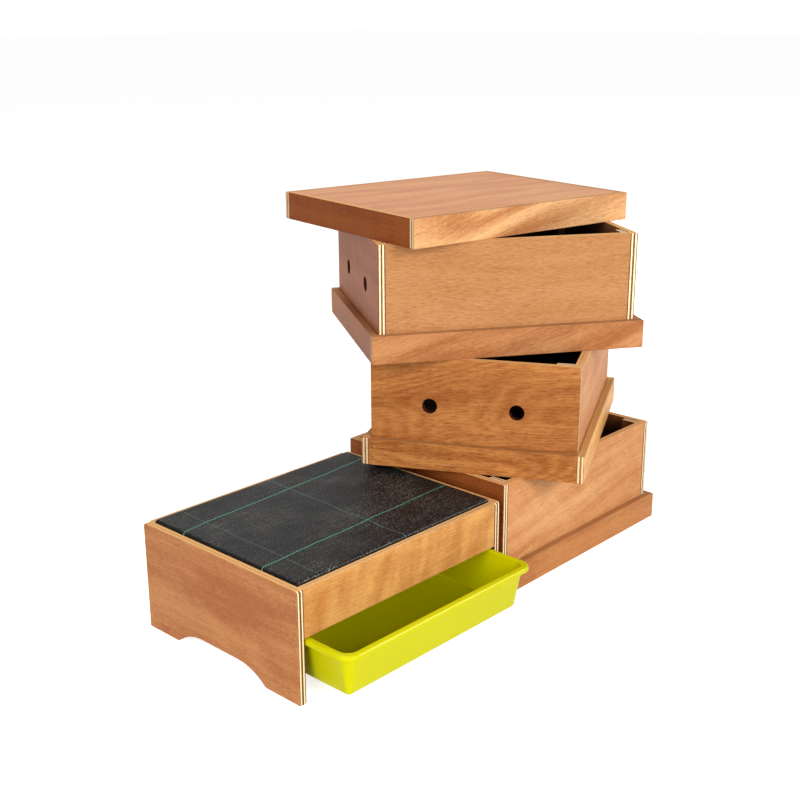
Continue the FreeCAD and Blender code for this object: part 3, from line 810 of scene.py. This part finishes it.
for number, (tray, turn) in enumerate(TRAY_TURNS.items()):
    foot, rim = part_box(f"{tray}_left_end")
    vent_up = (rim.z - foot.z) / 2 * MM_PER_M - VENT_DROP_MM
    veneers = VENEERS_AND_PAINTED_SHADE[tray] | TRAY_INSIDES
    for order, (board, (grain, through, inside)) in enumerate(TRAY_BOARDS.items()):
        light, dark, look = veneers.get(board, TRAY_VENEER)
        if board.endswith("_end"):
            look = look | {"vent": (VENT_SPACING_MM / 2, vent_up, VENT_RADIUS_MM + BORE_SHADE_PAST_MM)}
        elif board.endswith("_skirt"):
            look = look | {"stained": SKIRT_STAIN}
        varnish_board(f"{tray}_{board}", grain, through, light, dark, turn, inside,
                      seed=FIRST_SEED + SEED_PER_TRAY * number + SEED_PER_BOARD * order, **look)
    nail_boards(tray, {f"{tray}_left_end": END_BRADS, f"{tray}_right_end": END_BRADS,
                       f"{tray}_left_skirt": SKIRT_BRADS, f"{tray}_right_skirt": SKIRT_BRADS})


# Lid
# The lid is a plywood panel let in flush between the four boards of a skirt, glued and nailed. The
# skirt drops over the top tray, and nothing fastens it there.

LID_TURN = -10.3
LID_STAIN = 0.7
varnish_board("lid_panel", "X", "Z", "#D99D6D", "#C68258", LID_TURN, seed=31.0, bands=1.0, ribbon=0.1,
              rings=0.4, ring_lines=16.0, drift=60.0, drift_length=150.0)
varnish_board("lid_front_skirt", "X", "Y", "#DFAB74", "#AE6E3C", LID_TURN, seed=32.6, bands=0.3,
              streaks=0.5, fleck=0.7, ribbon=0.1, rings=1.6, ring_lines=24.0, drift=45.0,
              drift_length=200.0, slope=-12, stained=LID_STAIN)
varnish_board("lid_back_skirt", "X", "Y", "#E2A874", "#C48450", LID_TURN, seed=33.9, stained=LID_STAIN)
# The left skirt's dark colour is partly painted shade, as it faces away from the lamps
varnish_board("lid_left_skirt", "Y", "X", "#8E4917", "#6F2F09", LID_TURN, seed=34.5, pores=0.6)
varnish_board("lid_right_skirt", "Y", "X", "#D89C6C", "#B07446", LID_TURN, seed=35.2, stained=LID_STAIN)
nail_boards("lid", {"lid_left_skirt": SKIRT_BRADS, "lid_right_skirt": SKIRT_BRADS})


# Floor, light and camera
# A pale studio floor runs out of sight under even daylight. A soft key lamp stands low at the front,
# a wide fill to the left and a soft lamp above and behind, and a strip on the right adds gloss only.

FLOOR_REACH = 30.0
FLOOR_GLOW = 0.78               # with the light on it, this brings the floor to white
DAYLIGHT = 0.25
WHITE = 1.0
floor_corners = [(x * FLOOR_REACH, y * FLOOR_REACH, 0) for x, y in ((-1, -1), (1, -1), (1, 1), (-1, 1))]
floor_mesh = bpy.data.meshes.new("floor")
floor_mesh.from_pydata(floor_corners, [], [(0, 1, 2, 3)])
floor = place_object("floor", floor_mesh)


def seen_rays(tree):
    """1 for rays from the camera, and for those that gloss or glass sends on, and otherwise 0."""
    rays = add(tree, "ShaderNodeLightPath").outputs
    seen = add(tree, "ShaderNodeMath", {0: rays["Is Camera Ray"], 1: rays["Is Glossy Ray"]},
               operation="MAXIMUM").outputs[0]
    return add(tree, "ShaderNodeMath", {0: seen, 1: rays["Is Transmission Ray"]},
               operation="MAXIMUM").outputs[0]


pale, tree = start_material("pale studio floor")
glow = add(tree, "ShaderNodeMath", {0: seen_rays(tree), 1: FLOOR_GLOW}, operation="MULTIPLY").outputs[0]
matt = add(tree, "ShaderNodeBsdfDiffuse", {"Color": linear("#E8E8E6")}).outputs[0]
lift = add(tree, "ShaderNodeEmission", {"Strength": glow}).outputs[0]
both = add(tree, "ShaderNodeAddShader", {0: matt, 1: lift}).outputs[0]
add(tree, "ShaderNodeOutputMaterial", {0: both})
floor_mesh.materials.append(pale)

world = bpy.data.worlds.new("daylight")
bpy.context.scene.world = world
world.use_nodes = True
tree = world.node_tree
tree.nodes.clear()
level = add(tree, "ShaderNodeMapRange", {"Value": seen_rays(tree), "To Min": DAYLIGHT, "To Max": WHITE})
sky = add(tree, "ShaderNodeBackground", {"Color": (1, 1, 1, 1), "Strength": level.outputs[0]})
add(tree, "ShaderNodeOutputWorld", {0: sky.outputs[0]})

# Each lamp's direction from the object, distance and size in m, power in W, and False for gloss only
LAMPS = (
    ("key_lamp", (-0.2, -0.9, 0.38), 3.2, 1.2, 80.0, True),
    ("fill_lamp", (-0.9, -0.25, 0.35), 3.6, 2.0, 64.0, True),
    ("top_lamp", (0.1, 0.45, 0.9), 3.2, 1.6, 40.0, True),
    ("strip_lamp", (0.55, -0.69, 0.46), 2.5, 0.9, 100.0, False),
)
low, high = cad_bounds
centre = (low + high) / 2
for name, direction, distance, size, power, lights in LAMPS:
    towards = Vector(direction)
    lamp = bpy.data.lights.new(name, "AREA")
    lamp.size = size
    lamp.energy = power
    holder = place_object(name, lamp)
    holder.location = centre + towards.normalized() * distance
    holder.rotation_euler = (-towards).to_track_quat("-Z", "Y").to_euler()
    holder.visible_diffuse = lights

CAMERA_FROM_CORNER = Vector((-0.821696, -0.933702, 0.765492))
CAMERA_TURNS = ((-46.7112, "Z"), (72.2582, "X"), (-0.2649, "Z"))      # pan, tilt and roll, in degrees
CAMERA_LENS_MM = 55.398
CAMERA_SENSOR_MM = 36.0
camera = place_object("camera", bpy.data.cameras.new("camera"))
camera.data.lens = CAMERA_LENS_MM
camera.data.sensor_width = CAMERA_SENSOR_MM
camera.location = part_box("base_left_end")[0] + CAMERA_FROM_CORNER
pan, tilt, roll = [Matrix.Rotation(math.radians(angle), 3, axis) for angle, axis in CAMERA_TURNS]
camera.rotation_euler = (pan @ tilt @ roll).to_euler()
bpy.context.scene.camera = camera
bpy.context.scene.view_settings.view_transform = "Standard"
